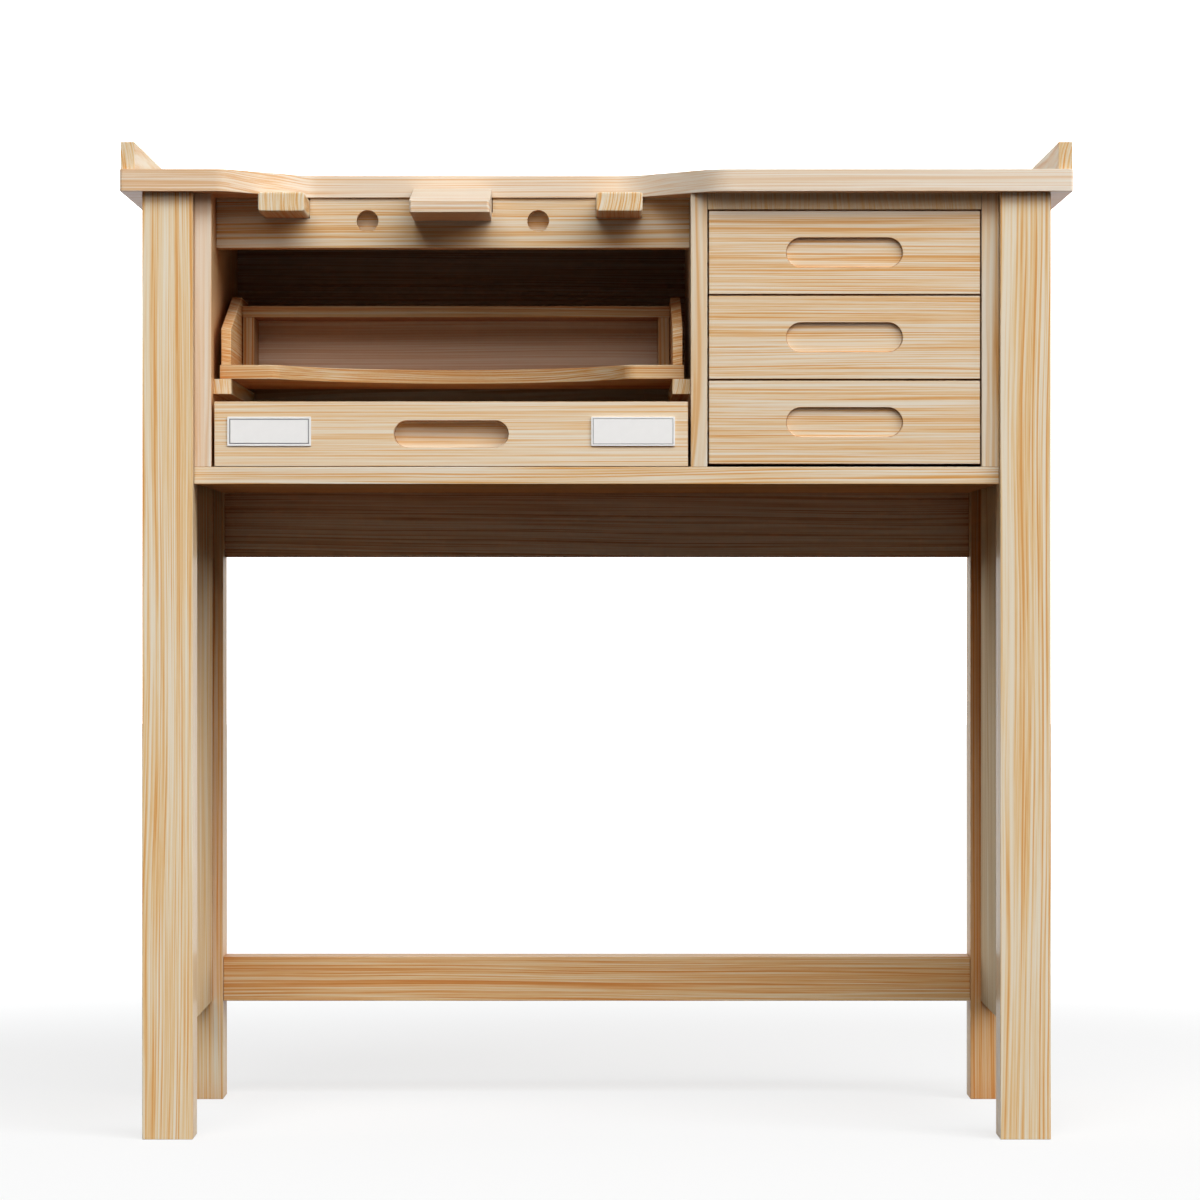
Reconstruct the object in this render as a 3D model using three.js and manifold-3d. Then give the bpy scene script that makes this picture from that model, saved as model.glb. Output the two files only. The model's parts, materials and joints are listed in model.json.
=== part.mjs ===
// Jeweler's bench in solid wood: a top with a belly cut-out over a bench pin, pull-out arm rests,
// a catch tray, one wide drawer and a stack of three drawers, carried by four legs with side panels
// and a rear stretcher.
// Millimetres. X runs to the right, Y from the front to the back, Z up from the floor.
// Depths are counted from the front faces of the front legs.
import * as THREE from "three";
import { mergeVertices } from "three/addons/utils/BufferGeometryUtils.js";
import Module from "manifold-3d";

const wasm = await Module();
wasm.setup();

// Fits and edges
const FIT = 0.3; // play around a glued or sliding joint
const VISIBLE_EASE = 0.6; // rounding of the edges that are seen and touched
const HIDDEN_EASE = 0.5; // rounding of the edges inside the carcass
const CORNER_TO_EASE = 1.2; // radius of an eased board's upright edges, as a multiple of its ease
const ROUND_STEPS = 2; // facets in an eased edge of a visible board
const CORNER_STEPS = 1; // half the facets in a board's upright edges
const ARC_STEPS = 4; // half the facets in each arc of a drawn outline
const RECESS_STEPS = 7; // half the facets in each round end of a finger recess
const SWEEP_STEPS = 10; // half the facets in the tray's concave sweep
const SOCKET_STEPS = 32; // facets around a round socket
const CUT_CLEAR = 2; // how far a cutter runs past the face it opens

// Legs
const LEG = 50;
const LEG_HEIGHT = 936;
const LEG_OUTER_X = 449;
const LEG_INNER_X = LEG_OUTER_X - LEG;
const REAR_LEG_Y = 368;

// Bench top and its belly cut-out
const TOP_WIDTH = 940;
const TOP_THICKNESS = 22;
const TOP_FRONT_Y = -12;
const TOP_REAR_Y = 438;
const TOP_CORNER_RADIUS = 3;
const TOP_Z = LEG_HEIGHT + TOP_THICKNESS;
const CUTOUT_DEPTH = 75;
const CUTOUT_LEFT_X = -329; // middle of the left flank
const CUTOUT_RIGHT_X = 77.5; // middle of the right flank
const CUTOUT_FLANK_RUN = 80; // how far a flank runs sideways from the front edge to the deep edge
const CUTOUT_LEFT_RADIUS = 20;
const CUTOUT_RIGHT_RADIUS = 45;
const CUTOUT_Y = TOP_FRONT_Y + CUTOUT_DEPTH;

// Gallery around the top
const GALLERY_THICKNESS = 14;
const GALLERY_HEIGHT = 27.5;
const GALLERY_SETBACK = 8;
const GALLERY_REBATE = 3; // how deep the gallery rails are let into the top

// Side panels, tongued into grooves in the legs
const PANEL_INNER_X = 410;
const PANEL_THICKNESS = 18;
const PANEL_BOTTOM_Z = 105;
const TONGUE_THICKNESS = 8;
const TONGUE_LENGTH = 10;

// Rear stretcher and rear rail, tenoned into the rear legs
const STRETCHER_DEPTH = 45;
const STRETCHER_HEIGHT = 47;
const STRETCHER_TENON = { length: 20, thickness: 15, height: 27 };
const REAR_RAIL_Y = 388;
const REAR_RAIL_THICKNESS = 18;
const REAR_RAIL_HEIGHT = 86;
const REAR_RAIL_TENON = { length: 15, thickness: 9, height: 60 };

// Carcass between the legs
const FLOOR_TOP_Z = 665;
const FLOOR_THICKNESS = 17;
const CARCASS_FRONT_Y = 12; // floor, uprights and drawer fronts are flush
const FLOOR_TONGUE = { length: 6, height: 7 };
const CARCASS_SIDE_REAR_Y = 366;
const CARCASS_SIDE_X = 381.5; // inner face of a carcass side
const BACK_Y = 340;
const BACK_THICKNESS = 12;
const BACK_GROOVE_DEPTH = 6;
const DIVIDER_X = [93.4, 109.8];
const HOUSING_DEPTH = 4; // stub tongue under each upright, let into the floor
const HOUSING_SHOULDER = 3.5; // set-in of that tongue from the upright's faces
const HOUSING_STOP = 24; // set-back of that tongue from the upright's front edge
const BAY_TOP_THICKNESS = 16;
const BAY_TOP_TONGUE = { length: 5, height: 6 };

// Left bay and the rail that holds the bench pin
const LEFT_BAY_X = [-CARCASS_SIDE_X, DIVIDER_X[0]];
const LEFT_BAY_MIDDLE_X = (LEFT_BAY_X[0] + LEFT_BAY_X[1]) / 2;
const PIN_RAIL_Y = [66, 88];
const PIN_RAIL_BOTTOM_Z = 886;
const PIN_RAIL_TENON = { length: 7, thickness: 11, height: 30 };
const SOCKET_RADIUS = 11;
const SOCKET_DEPTH = 16;
const SOCKET_OFFSET_X = 85.5;
const SOCKET_Z = 913;

// Bench pin, a wedge with a tongue that plugs into the rail
const PIN_FRONT_WIDTH = 79;
const PIN_TAIL_WIDTH = 78;
const PIN_SIDE_PLAY = 1; // between the tongue and the ends of its notch
const PIN_FRONT_Y = -39;
const PIN_BOTTOM_Z = 913;
const PIN_TONGUE_Z = 921.8; // underside of the tongue that enters the rail
const PIN_FRONT_TOP_Z = 924.5;
const PIN_REAR_TOP_Z = 944.75;
const PIN_SHOULDER_GAP = 0.75; // play between the wedge and the deep edge of the cut-out
const PIN_CORNER_RADIUS = 3;

// Arm-rest bars and the guides that hold their tails under the top
const ARMREST_WIDTH = 46;
const ARMREST_Z = [916, 935];
const ARMREST_Y = [-14, 216];
const ARMREST_OFFSET_X = 166.5;
const ARMREST_CORNER_RADIUS = 3;
const ARMREST_END_EASE = 1.2;
const GUIDE_Y = [110, 150];
const GUIDE_WALL = 12;

// Catch tray with a tool rack at the back, on two runners
const TRAY_RUNNER = { width: 18, height: 15, frontY: 32 };
const TRAY_RUNNER_TOP_Z = 753;
const TRAY_WIDTH = 462;
const TRAY_Y = [36, 259];
const TRAY_BASE_THICKNESS = 14;
const TRAY_PLAY = 0.25; // tray above its runners
const TRAY_BASE_Z = TRAY_RUNNER_TOP_Z + TRAY_PLAY;
const TRAY_FLOOR_Z = TRAY_BASE_Z + TRAY_BASE_THICKNESS;
const TRAY_SCOOP_RADIUS = 200;
const TRAY_SCOOP_DEPTH = 103;
const TRAY_SCOOP_LIP_RADIUS = 16;
const TRAY_SIDE = { thickness: 10, inset: 1.25, frontHeight: 36, rearHeight: 76, slopeRun: 136 };
const TRAY_SIDE_TONGUE = { depth: 4, shoulder: 2.5 };
const RACK_Y = [172, 240];
const RACK_TOP_Z = [823, 834.5];
const RACK_END_THICKNESS = 11.5;
const RACK_END_INSET = 1;
const TRAY_BACK_THICKNESS = 12;

// Drawers
const DRAWER_FRONT_Y = CARCASS_FRONT_Y;
const DRAWER_FRONT_THICKNESS = 20;
const DRAWER_REAR_Y = 325;
const BOX_BOARD = 12; // thickness of drawer sides and backs
const BOX_JOINT_DEPTH = 6; // how far box boards are let into each other
const DRAWER_BOTTOM_THICKNESS = 5;
const DRAWER_BOTTOM_LIFT = 7; // bottom panel above the lower edge of the sides
const RECESS_CHAMFER = 0.3;
const RECESS_FLOOR_EASE = 1.2;

const WIDE_DRAWER_GAP_X = 2.75;
const WIDE_DRAWER_LIFT = 0.5; // drawer above the carcass floor
const WIDE_DRAWER_TOP_Z = 729.75;
const WIDE_BOX_INSET = 1.5; // box sides behind the ends of the front
const WIDE_BOX_TOP_Z = 716;
const WIDE_RECESS = { width: 114, height: 26.8, depth: 17 };
const SMALL_DRAWER_NAMES = ["lower_drawer", "middle_drawer", "upper_drawer"];
const RIGHT_BAY_X = [DIVIDER_X[1], CARCASS_SIDE_X];
const SMALL_DRAWER_GAP_X = 1.5;
const SMALL_DRAWER_HEIGHT = 82.4;
const SMALL_DRAWER_PITCH = 84.1;
const SMALL_DRAWER_FIRST_Z = 668;
const SMALL_BOX_INSET = 0.25;
const SMALL_BOX_LIFT = 6; // box sides above the lower edge of the front
const SMALL_BOX_HEIGHT = 64;
const SMALL_RECESS = { width: 115.8, height: 29.8, depth: 5 };
// Strips on the bay's walls that the small drawers hang and run on
const HANGER = { thickness: 7.5, height: 12, y: [34, 330], play: 0.5 };

// The origin lies on the floor, midway between the pin's tip and the top's rear edge.
const ORIGIN_Y = (PIN_FRONT_Y + TOP_REAR_Y) / 2;

const bench = new THREE.Group();
bench.name = "jewelers_bench";
bench.position.y = -ORIGIN_Y;

const FINISH = {
  varnished: { color: 0xdabf95, roughness: 0.38, metalness: 0 },
  endGrain: { color: 0xd8bb8f, roughness: 0.45, metalness: 0 },
  boxWood: { color: 0xe2cda8, roughness: 0.55, metalness: 0 },
};

// A closed geometry as a solid that can be added to and cut.
function solidOf(geometry) {
  const bare = geometry.clone();
  bare.deleteAttribute("normal");
  bare.deleteAttribute("uv");
  const merged = mergeVertices(bare);
  return new wasm.Manifold(
    new wasm.Mesh({
      numProp: 3,
      vertProperties: merged.attributes.position.array,
      triVerts: new Uint32Array(merged.index.array),
    }),
  );
}

function geometryOf(solid) {
  const mesh = solid.getMesh();
  const geometry = new THREE.BufferGeometry();
  geometry.setAttribute("position", new THREE.BufferAttribute(mesh.vertProperties, mesh.numProp));
  geometry.setIndex(new THREE.BufferAttribute(mesh.triVerts, 1));
  const faceted = geometry.toNonIndexed();
  faceted.computeVertexNormals();
  return faceted;
}

// Adds a finished piece to the bench.
function addPiece(name, solid, finish = FINISH.varnished) {
  const mesh = new THREE.Mesh(geometryOf(solid), new THREE.MeshStandardMaterial(finish));
  mesh.name = name;
  bench.add(mesh);
}

const withParts = (solid, additions) => additions.reduce((sum, part) => sum.add(part), solid);
const withCuts = (solid, cutters) => cutters.reduce((rest, cutter) => rest.subtract(cutter), solid);
const mirrored = ([from, to]) => [-to, -from];
const grown = ([from, to], by) => [from - by, to + by];
const centred = (middle, size) => [middle - size / 2, middle + size / 2];
const middleOf = ([from, to]) => (from + to) / 2;

// A sharp-edged block, for tongues, tenons and cutters.
function block({ x, y, z }) {
  const box = new THREE.BoxGeometry(x[1] - x[0], y[1] - y[0], z[1] - z[0]);
  box.translate(middleOf(x), middleOf(y), middleOf(z));
  return solidOf(box);
}

// A closed outline from corners [u, v, radius], with an arc at every corner that has a radius.
function outline(corners) {
  const shape = new THREE.Shape();
  corners.forEach(([u, v, radius = 0], i) => {
    const corner = new THREE.Vector2(u, v);
    const [before, after] = [corners.at(i - 1), corners[(i + 1) % corners.length]]
      .map(([nu, nv]) => new THREE.Vector2(nu, nv).sub(corner).normalize());
    if (radius === 0) {
      if (i === 0) shape.moveTo(u, v);
      else shape.lineTo(u, v);
      return;
    }
    const halfAngle = Math.acos(before.dot(after)) / 2;
    const reach = radius / Math.tan(halfAngle);
    const centre = before.clone().add(after).normalize()
      .multiplyScalar(radius / Math.sin(halfAngle)).add(corner);
    const start = before.multiplyScalar(reach).add(corner);
    const end = after.multiplyScalar(reach).add(corner);
    const angleAt = (point) => Math.atan2(point.y - centre.y, point.x - centre.x);
    const turnsRight = start.clone().sub(centre).cross(end.clone().sub(centre)) < 0;
    if (i === 0) shape.moveTo(start.x, start.y);
    else shape.lineTo(start.x, start.y);
    shape.absarc(centre.x, centre.y, radius, angleAt(start), angleAt(end), turnsRight);
  });
  shape.closePath();
  return shape;
}

function rectangle(u, v, radius = 0) {
  return outline([
    [u[0], v[0], radius],
    [u[1], v[0], radius],
    [u[1], v[1], radius],
    [u[0], v[1], radius],
  ]);
}

// An outline raised to a thickness, with its rims eased.
function raised(shape, thickness, ease, steps, arcSteps) {
  return new THREE.ExtrudeGeometry(shape, {
    depth: thickness - 2 * ease,
    bevelEnabled: ease > 0,
    bevelThickness: ease,
    bevelSize: ease,
    bevelOffset: -ease,
    bevelSegments: steps,
    curveSegments: arcSteps,
  }).translate(0, 0, ease);
}

const axisX = new THREE.Vector3(1, 0, 0);
const axisY = new THREE.Vector3(0, 1, 0);
const axisZ = new THREE.Vector3(0, 0, 1);

// Plan outline (X, Y) over a range of heights.
function slabOverZ(shape, z, ease = VISIBLE_EASE, steps = ROUND_STEPS, arcSteps = ARC_STEPS) {
  return solidOf(raised(shape, z[1] - z[0], ease, steps, arcSteps).translate(0, 0, z[0]));
}

// Side outline (Y, Z) over a range across the bench.
function slabOverX(shape, x, ease = VISIBLE_EASE, steps = ROUND_STEPS, arcSteps = ARC_STEPS) {
  const geometry = raised(shape, x[1] - x[0], ease, steps, arcSteps);
  geometry.applyMatrix4(new THREE.Matrix4().makeBasis(axisY, axisZ, axisX));
  return solidOf(geometry.translate(x[0], 0, 0));
}

// Front outline (X, Z) over a range of depths.
function slabOverY(shape, y, ease = VISIBLE_EASE, steps = ROUND_STEPS, arcSteps = ARC_STEPS) {
  const geometry = raised(shape, y[1] - y[0], ease, steps, arcSteps);
  geometry.applyMatrix4(new THREE.Matrix4().makeBasis(axisX, axisZ, axisY.clone().negate()));
  return solidOf(geometry.translate(0, y[1], 0));
}

// A board with all its edges rounded.
function board({ x, y, z }, ease = VISIBLE_EASE, steps = ROUND_STEPS) {
  return slabOverZ(rectangle(x, y, CORNER_TO_EASE * ease), z, ease, steps, CORNER_STEPS);
}

// A board inside the carcass or a drawer, with a plain arris.
const plainBoard = (ranges) => board(ranges, HIDDEN_EASE, 1);

function roundSocket(x, z, faceY) {
  const length = SOCKET_DEPTH + CUT_CLEAR;
  const cutter = new THREE.CylinderGeometry(SOCKET_RADIUS, SOCKET_RADIUS, length, SOCKET_STEPS);
  cutter.translate(x, faceY + (SOCKET_DEPTH - CUT_CLEAR) / 2, z);
  return solidOf(cutter);
}

// A finger recess with round ends, a rounded floor rim and a chamfered mouth.
function fingerRecess({ width, height, depth }, x, z, faceY) {
  const stadium = (margin) => {
    const shape = new THREE.Shape();
    const quarterTurn = Math.PI / 2;
    const endRadius = height / 2 + margin;
    const endOffset = (width - height) / 2;
    shape.absarc(x + endOffset, z, endRadius, -quarterTurn, quarterTurn, false);
    shape.absarc(x - endOffset, z, endRadius, quarterTurn, 3 * quarterTurn, false);
    shape.closePath();
    return shape;
  };
  const hollowY = [faceY - RECESS_FLOOR_EASE - CUT_CLEAR, faceY + depth];
  const mouthY = [faceY - RECESS_CHAMFER - CUT_CLEAR, faceY + RECESS_CHAMFER];
  const hollow = slabOverY(stadium(0), hollowY, RECESS_FLOOR_EASE, ROUND_STEPS, RECESS_STEPS);
  const mouth = slabOverY(stadium(RECESS_CHAMFER), mouthY, RECESS_CHAMFER, 1, RECESS_STEPS);
  return hollow.add(mouth);
}

function addTop() {
  const [left, right] = centred(0, TOP_WIDTH);
  const half = CUTOUT_FLANK_RUN / 2;
  const shape = outline([
    [left, TOP_FRONT_Y, TOP_CORNER_RADIUS],
    [CUTOUT_LEFT_X - half, TOP_FRONT_Y, CUTOUT_LEFT_RADIUS],
    [CUTOUT_LEFT_X + half, CUTOUT_Y, CUTOUT_LEFT_RADIUS],
    [CUTOUT_RIGHT_X - half, CUTOUT_Y, CUTOUT_RIGHT_RADIUS],
    [CUTOUT_RIGHT_X + half, TOP_FRONT_Y, CUTOUT_RIGHT_RADIUS],
    [right, TOP_FRONT_Y, TOP_CORNER_RADIUS],
    [right, TOP_REAR_Y, TOP_CORNER_RADIUS],
    [left, TOP_REAR_Y, TOP_CORNER_RADIUS],
  ]);
  const galleryZ = [TOP_Z - GALLERY_REBATE, TOP_Z + GALLERY_HEIGHT];
  const sideRailX = [right - GALLERY_THICKNESS, right];
  const sideRailY = [TOP_FRONT_Y + GALLERY_SETBACK, TOP_REAR_Y];
  const rearRailX = grown([-sideRailX[0], sideRailX[0]], -FIT);
  const rearRailY = [TOP_REAR_Y - GALLERY_THICKNESS, TOP_REAR_Y];

  const rebateZ = [galleryZ[0], TOP_Z + CUT_CLEAR];
  const sideRebate = {
    x: [sideRailX[0] - FIT, right + CUT_CLEAR],
    y: [sideRailY[0] - FIT, TOP_REAR_Y + CUT_CLEAR],
    z: rebateZ,
  };
  addPiece("bench_top", withCuts(slabOverZ(shape, [LEG_HEIGHT, TOP_Z]), [
    block(sideRebate),
    block({ ...sideRebate, x: mirrored(sideRebate.x) }),
    block({ x: [left, right], y: [rearRailY[0] - FIT, TOP_REAR_Y + CUT_CLEAR], z: rebateZ }),
  ]));
  addPiece("gallery_rail_right", board({ x: sideRailX, y: sideRailY, z: galleryZ }));
  addPiece("gallery_rail_left", board({ x: mirrored(sideRailX), y: sideRailY, z: galleryZ }));
  addPiece("gallery_rail_rear", board({ x: rearRailX, y: rearRailY, z: galleryZ }));
}

// Heights and depths of a tenon in the middle of a rail's end, grown by the play of its mortise.
function tenonSection({ thickness, height }, railY, railZ, play) {
  return {
    y: grown(centred(middleOf(railY), thickness), play),
    z: grown(centred(middleOf(railZ), height), play),
  };
}

const STRETCHER_Y = [REAR_LEG_Y, REAR_LEG_Y + STRETCHER_DEPTH];
const STRETCHER_Z = [PANEL_BOTTOM_Z, PANEL_BOTTOM_Z + STRETCHER_HEIGHT];
const REAR_RAIL_RANGE_Y = [REAR_RAIL_Y, REAR_RAIL_Y + REAR_RAIL_THICKNESS];
const REAR_RAIL_Z = [FLOOR_TOP_Z - REAR_RAIL_HEIGHT, FLOOR_TOP_Z];
const PANEL_TONGUE_X = centred(PANEL_INNER_X + PANEL_THICKNESS / 2, TONGUE_THICKNESS);

function addLegs() {
  const legX = [LEG_INNER_X, LEG_OUTER_X];
  const grooveX = grown(PANEL_TONGUE_X, FIT);
  const grooveZ = [PANEL_BOTTOM_Z - FIT, LEG_HEIGHT + CUT_CLEAR];
  const frontGrooveY = [LEG - TONGUE_LENGTH - FIT, LEG + CUT_CLEAR];
  const rearGrooveY = [REAR_LEG_Y - CUT_CLEAR, REAR_LEG_Y + TONGUE_LENGTH + FIT];
  const mortise = (tenon, railY, railZ) => ({
    x: [LEG_INNER_X - CUT_CLEAR, LEG_INNER_X + tenon.length + FIT],
    ...tenonSection(tenon, railY, railZ, FIT),
  });
  const stretcherMortise = mortise(STRETCHER_TENON, STRETCHER_Y, STRETCHER_Z);
  const railMortise = mortise(REAR_RAIL_TENON, REAR_RAIL_RANGE_Y, REAR_RAIL_Z);
  for (const [side, place] of [["right", (x) => x], ["left", mirrored]]) {
    const leg = (y) => board({ x: place(legX), y, z: [0, LEG_HEIGHT] });
    const cutter = ({ x, y, z }) => block({ x: place(x), y, z });
    addPiece(`front_leg_${side}`, withCuts(leg([0, LEG]), [
      cutter({ x: grooveX, y: frontGrooveY, z: grooveZ }),
    ]));
    addPiece(`rear_leg_${side}`, withCuts(leg([REAR_LEG_Y, REAR_LEG_Y + LEG]), [
      cutter({ x: grooveX, y: rearGrooveY, z: grooveZ }),
      cutter(stretcherMortise),
      cutter(railMortise),
    ]));
  }
}

function addSidePanels() {
  const panelX = [PANEL_INNER_X, PANEL_INNER_X + PANEL_THICKNESS];
  const panelZ = [PANEL_BOTTOM_Z, LEG_HEIGHT];
  const faceY = grown([LEG, REAR_LEG_Y], -FIT);
  const tongueY = grown([LEG, REAR_LEG_Y], TONGUE_LENGTH);
  for (const [side, place] of [["right", (x) => x], ["left", mirrored]]) {
    addPiece(`side_panel_${side}`, withParts(board({ x: place(panelX), y: faceY, z: panelZ }), [
      block({ x: place(PANEL_TONGUE_X), y: tongueY, z: panelZ }),
    ]));
  }
}

function addRearRails() {
  const betweenLegs = grown([-LEG_INNER_X, LEG_INNER_X], -FIT);
  const tenoned = (y, z, tenon) => withParts(board({ x: betweenLegs, y, z }), [
    block({
      x: grown([-LEG_INNER_X, LEG_INNER_X], tenon.length),
      ...tenonSection(tenon, y, z, 0),
    }),
  ]);
  addPiece("rear_stretcher", tenoned(STRETCHER_Y, STRETCHER_Z, STRETCHER_TENON));
  const floorGroove = block({
    x: grown(betweenLegs, -LEG),
    y: [REAR_RAIL_Y - CUT_CLEAR, REAR_RAIL_Y + FLOOR_TONGUE.length + FIT],
    z: grown(centred(FLOOR_TOP_Z - FLOOR_THICKNESS / 2, FLOOR_TONGUE.height), FIT),
  });
  const rail = tenoned(REAR_RAIL_RANGE_Y, REAR_RAIL_Z, REAR_RAIL_TENON);
  addPiece("rear_rail", withCuts(rail, [floorGroove]));
}

// The stub tongue under an upright, and the housing for it in the floor.
function housing(uprightX, uprightY, play) {
  return block({
    x: grown(uprightX, play - HOUSING_SHOULDER),
    y: grown([uprightY[0] + HOUSING_STOP, uprightY[1] - HOUSING_SHOULDER], play),
    z: [FLOOR_TOP_Z - HOUSING_DEPTH - play, FLOOR_TOP_Z + CUT_CLEAR],
  });
}

function addCarcass() {
  const uprightZ = [FLOOR_TOP_Z, LEG_HEIGHT];
  const sideX = [CARCASS_SIDE_X, LEG_INNER_X - FIT];
  const sideY = [CARCASS_FRONT_Y, CARCASS_SIDE_REAR_Y];
  const dividerY = [CARCASS_FRONT_Y, BACK_Y - FIT];
  const floorX = grown([-LEG_INNER_X, LEG_INNER_X], -FIT);
  const uprights = [[sideX, sideY], [mirrored(sideX), sideY], [DIVIDER_X, dividerY]];

  const floorBoard = board({
    x: floorX,
    y: [CARCASS_FRONT_Y, REAR_RAIL_Y - FIT],
    z: [FLOOR_TOP_Z - FLOOR_THICKNESS, FLOOR_TOP_Z],
  });
  const floorTongue = block({
    x: grown(floorX, -LEG - FIT),
    y: [BACK_Y, REAR_RAIL_Y + FLOOR_TONGUE.length],
    z: centred(FLOOR_TOP_Z - FLOOR_THICKNESS / 2, FLOOR_TONGUE.height),
  });
  const housings = uprights.map(([x, y]) => housing(x, y, FIT));
  addPiece("carcass_floor", withCuts(withParts(floorBoard, [floorTongue]), housings));

  const bayTopZ = [LEG_HEIGHT - BAY_TOP_THICKNESS, LEG_HEIGHT];
  const bayTopY = [CARCASS_FRONT_Y, BACK_Y - FIT];
  const bayTongue = (play) => block({
    x: grown(RIGHT_BAY_X, BAY_TOP_TONGUE.length + play),
    y: grown([bayTopY[0] + HOUSING_STOP, bayTopY[1] - HOUSING_STOP], play),
    z: grown(centred(middleOf(bayTopZ), BAY_TOP_TONGUE.height), play),
  });
  const railZ = [PIN_RAIL_BOTTOM_Z, LEG_HEIGHT];
  const railTenon = (play) => block({
    x: grown(LEFT_BAY_X, PIN_RAIL_TENON.length + play),
    ...tenonSection(PIN_RAIL_TENON, PIN_RAIL_Y, railZ, play),
  });
  const backRange = {
    x: grown([-CARCASS_SIDE_X, CARCASS_SIDE_X], BACK_GROOVE_DEPTH - FIT),
    y: [BACK_Y, BACK_Y + BACK_THICKNESS],
    z: uprightZ,
  };
  const backGroove = block({ ...backRange, x: grown(backRange.x, FIT), y: grown(backRange.y, FIT) });

  const upright = (x, y) => withParts(board({ x, y, z: uprightZ }), [housing(x, y, 0)]);
  addPiece("carcass_side_left", withCuts(upright(mirrored(sideX), sideY), [backGroove, railTenon(FIT)]));
  addPiece("carcass_side_right", withCuts(upright(sideX, sideY), [backGroove, bayTongue(FIT)]));
  addPiece("carcass_divider", withCuts(upright(DIVIDER_X, dividerY), [railTenon(FIT), bayTongue(FIT)]));
  addPiece("carcass_back", plainBoard(backRange));
  addPiece("drawer_bay_top", withParts(
    board({ x: grown(RIGHT_BAY_X, -FIT), y: bayTopY, z: bayTopZ }),
    [bayTongue(0)],
  ), FINISH.endGrain);

  const notch = (middle, width, bottomZ, sidePlay = FIT) => block({
    x: grown(centred(middle, width), sidePlay),
    y: grown(PIN_RAIL_Y, CUT_CLEAR),
    z: [bottomZ - FIT, LEG_HEIGHT + CUT_CLEAR],
  });
  const blank = withParts(board({ x: grown(LEFT_BAY_X, -FIT), y: PIN_RAIL_Y, z: railZ }), [railTenon(0)]);
  const sides = [-1, 1];
  addPiece("bench_pin_rail", withCuts(blank, [
    notch(LEFT_BAY_MIDDLE_X, PIN_TAIL_WIDTH, PIN_TONGUE_Z, PIN_SIDE_PLAY),
    ...sides.map((s) => notch(LEFT_BAY_MIDDLE_X + s * ARMREST_OFFSET_X, ARMREST_WIDTH, ARMREST_Z[0])),
    ...sides.map((s) => roundSocket(LEFT_BAY_MIDDLE_X + s * SOCKET_OFFSET_X, SOCKET_Z, PIN_RAIL_Y[0])),
  ]));
}

function addBenchPin() {
  const tongueTopZ = LEG_HEIGHT - FIT;
  const upperShoulderY = CUTOUT_Y - PIN_SHOULDER_GAP;
  const lowerShoulderY = PIN_RAIL_Y[0] - FIT;
  const profile = outline([
    [PIN_FRONT_Y, PIN_BOTTOM_Z, VISIBLE_EASE],
    [lowerShoulderY, PIN_BOTTOM_Z],
    [lowerShoulderY, PIN_TONGUE_Z],
    [PIN_RAIL_Y[1], PIN_TONGUE_Z],
    [PIN_RAIL_Y[1], tongueTopZ],
    [upperShoulderY, tongueTopZ],
    [upperShoulderY, PIN_REAR_TOP_Z],
    [PIN_FRONT_Y, PIN_FRONT_TOP_Z, VISIBLE_EASE],
  ]);
  const frontX = centred(LEFT_BAY_MIDDLE_X, PIN_FRONT_WIDTH);
  const tailX = centred(LEFT_BAY_MIDDLE_X, PIN_TAIL_WIDTH);
  const plan = outline([
    [frontX[0], PIN_FRONT_Y, PIN_CORNER_RADIUS],
    [frontX[1], PIN_FRONT_Y, PIN_CORNER_RADIUS],
    [tailX[1], PIN_RAIL_Y[0] - PIN_CORNER_RADIUS],
    [tailX[1], PIN_RAIL_Y[1]],
    [tailX[0], PIN_RAIL_Y[1]],
    [tailX[0], PIN_RAIL_Y[0] - PIN_CORNER_RADIUS],
  ]);
  const wedge = slabOverX(profile, frontX, 0, 1, CORNER_STEPS);
  addPiece("bench_pin", wedge.intersect(slabOverZ(plan, [PIN_BOTTOM_Z, TOP_Z])));
}

function addArmrests() {
  for (const [side, sign] of [["left", -1], ["right", 1]]) {
    const middle = LEFT_BAY_MIDDLE_X + sign * ARMREST_OFFSET_X;
    const section = rectangle(centred(middle, ARMREST_WIDTH), ARMREST_Z, ARMREST_CORNER_RADIUS);
    addPiece(`armrest_${side}`, slabOverY(section, ARMREST_Y, ARMREST_END_EASE), FINISH.endGrain);
    const channelX = grown(centred(middle, ARMREST_WIDTH), FIT);
    const channelBottomZ = ARMREST_Z[0] - FIT;
    const guide = plainBoard({
      x: grown(channelX, GUIDE_WALL),
      y: GUIDE_Y,
      z: [channelBottomZ - GUIDE_WALL, LEG_HEIGHT],
    });
    const channel = block({
      x: channelX,
      y: grown(GUIDE_Y, CUT_CLEAR),
      z: [channelBottomZ, LEG_HEIGHT + CUT_CLEAR],
    });
    addPiece(`armrest_guide_${side}`, withCuts(guide, [channel]));
  }
}

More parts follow.
